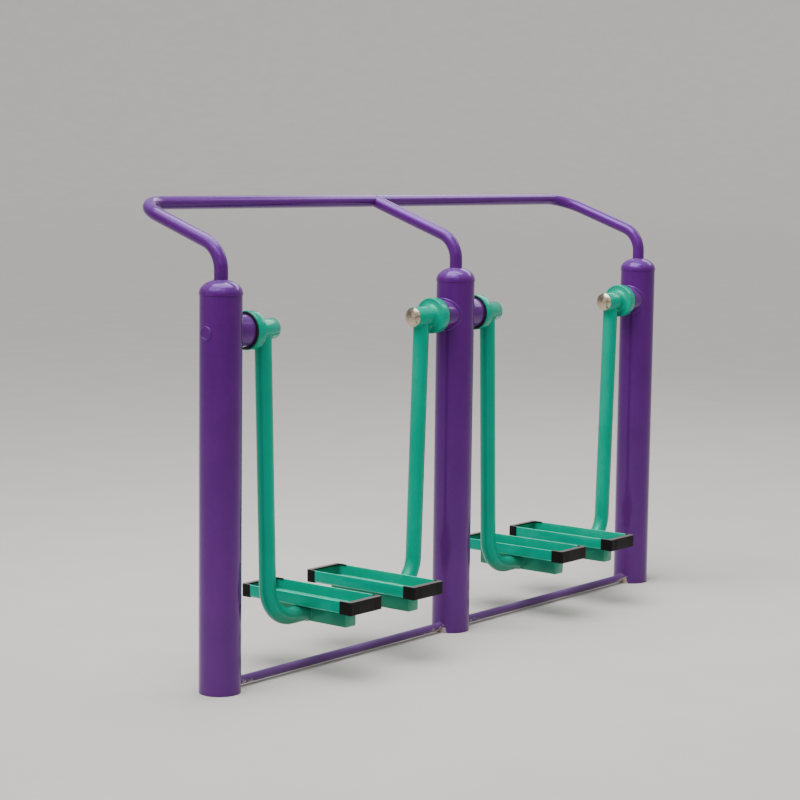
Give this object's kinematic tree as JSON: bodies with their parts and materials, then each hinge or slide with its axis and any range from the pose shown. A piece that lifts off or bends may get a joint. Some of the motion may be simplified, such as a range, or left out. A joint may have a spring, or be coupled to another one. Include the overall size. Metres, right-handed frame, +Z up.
{
  "type": "air walker",
  "caption": "Outdoor air walker: round posts joined by a bent handrail and ground ties, with tube arms that swing freely from hubs and carry flat foot treads.",
  "frame": {"origin": "the middle of the flat foot of the middle post, at ground level", "axes": "X runs along the line of posts, +Y points from the posts to the long bar of the handrail, +Z is up"},
  "size_m": [2.148, 0.5384, 1.3149],
  "materials": {
    "purple_gloss_paint": "gloss powder coat",
    "green_gloss_paint": "gloss powder coat",
    "polished_steel": "mirror polished stainless steel",
    "plain_steel": "turned steel",
    "black_plastic": "moulded, fine grain",
    "black_rubber": "moulded"
  },
  "bodies": {
    "frame": {"post_left": "purple_gloss_paint", "post_cap_left": "purple_gloss_paint", "post_middle": "purple_gloss_paint", "post_cap_middle": "purple_gloss_paint", "post_right": "purple_gloss_paint", "post_cap_right": "purple_gloss_paint", "handrail": "purple_gloss_paint", "rail_brace": "purple_gloss_paint", "tie_bar_left": "purple_gloss_paint", "tie_bar_right": "purple_gloss_paint", "axle_left": "plain_steel", "axle_middle": "plain_steel", "axle_right": "plain_steel", "axle_nut_left": "plain_steel", "axle_nut_middle": "plain_steel", "axle_nut_right": "plain_steel", "hub_housing_1": "purple_gloss_paint", "hub_housing_2": "purple_gloss_paint", "hub_housing_3": "purple_gloss_paint", "hub_housing_4": "purple_gloss_paint", "dust_seal_1": "black_rubber", "dust_seal_2": "black_rubber", "dust_seal_3": "black_rubber", "dust_seal_4": "black_rubber"},
    "swing_1": {"hub_sleeve_1": "green_gloss_paint", "bearing_in_1": "plain_steel", "bearing_out_1": "plain_steel", "hub_cap_1": "polished_steel", "swing_arm_1": "green_gloss_paint", "foot_bar_1": "green_gloss_paint", "tread_1": "green_gloss_paint", "end_cap_near_1": "black_plastic", "end_cap_far_1": "black_plastic"},
    "swing_2": {"hub_sleeve_2": "green_gloss_paint", "bearing_in_2": "plain_steel", "bearing_out_2": "plain_steel", "hub_cap_2": "polished_steel", "swing_arm_2": "green_gloss_paint", "foot_bar_2": "green_gloss_paint", "tread_2": "green_gloss_paint", "end_cap_near_2": "black_plastic", "end_cap_far_2": "black_plastic"},
    "swing_3": {"hub_sleeve_3": "green_gloss_paint", "bearing_in_3": "plain_steel", "bearing_out_3": "plain_steel", "hub_cap_3": "polished_steel", "swing_arm_3": "green_gloss_paint", "foot_bar_3": "green_gloss_paint", "tread_3": "green_gloss_paint", "end_cap_near_3": "black_plastic", "end_cap_far_3": "black_plastic"},
    "swing_4": {"hub_sleeve_4": "green_gloss_paint", "bearing_in_4": "plain_steel", "bearing_out_4": "plain_steel", "hub_cap_4": "polished_steel", "swing_arm_4": "green_gloss_paint", "foot_bar_4": "green_gloss_paint", "tread_4": "green_gloss_paint", "end_cap_near_4": "black_plastic", "end_cap_far_4": "black_plastic"}
  },
  "joints": [
    {"name": "swing_hinge_1", "type": "hinge", "parent": "frame", "child": "swing_1", "pos_m": [-1.015, 0, 0.965], "axis": [1, 0, 0], "range_deg": [-55, 55]},
    {"name": "swing_hinge_2", "type": "hinge", "parent": "frame", "child": "swing_2", "pos_m": [0, 0, 0.965], "axis": [1, 0, 0], "range_deg": [-55, 55]},
    {"name": "swing_hinge_3", "type": "hinge", "parent": "frame", "child": "swing_3", "pos_m": [0, 0, 0.965], "axis": [1, 0, 0], "range_deg": [-55, 55]},
    {"name": "swing_hinge_4", "type": "hinge", "parent": "frame", "child": "swing_4", "pos_m": [1.015, 0, 0.965], "axis": [1, 0, 0], "range_deg": [-55, 55]}
  ]
}
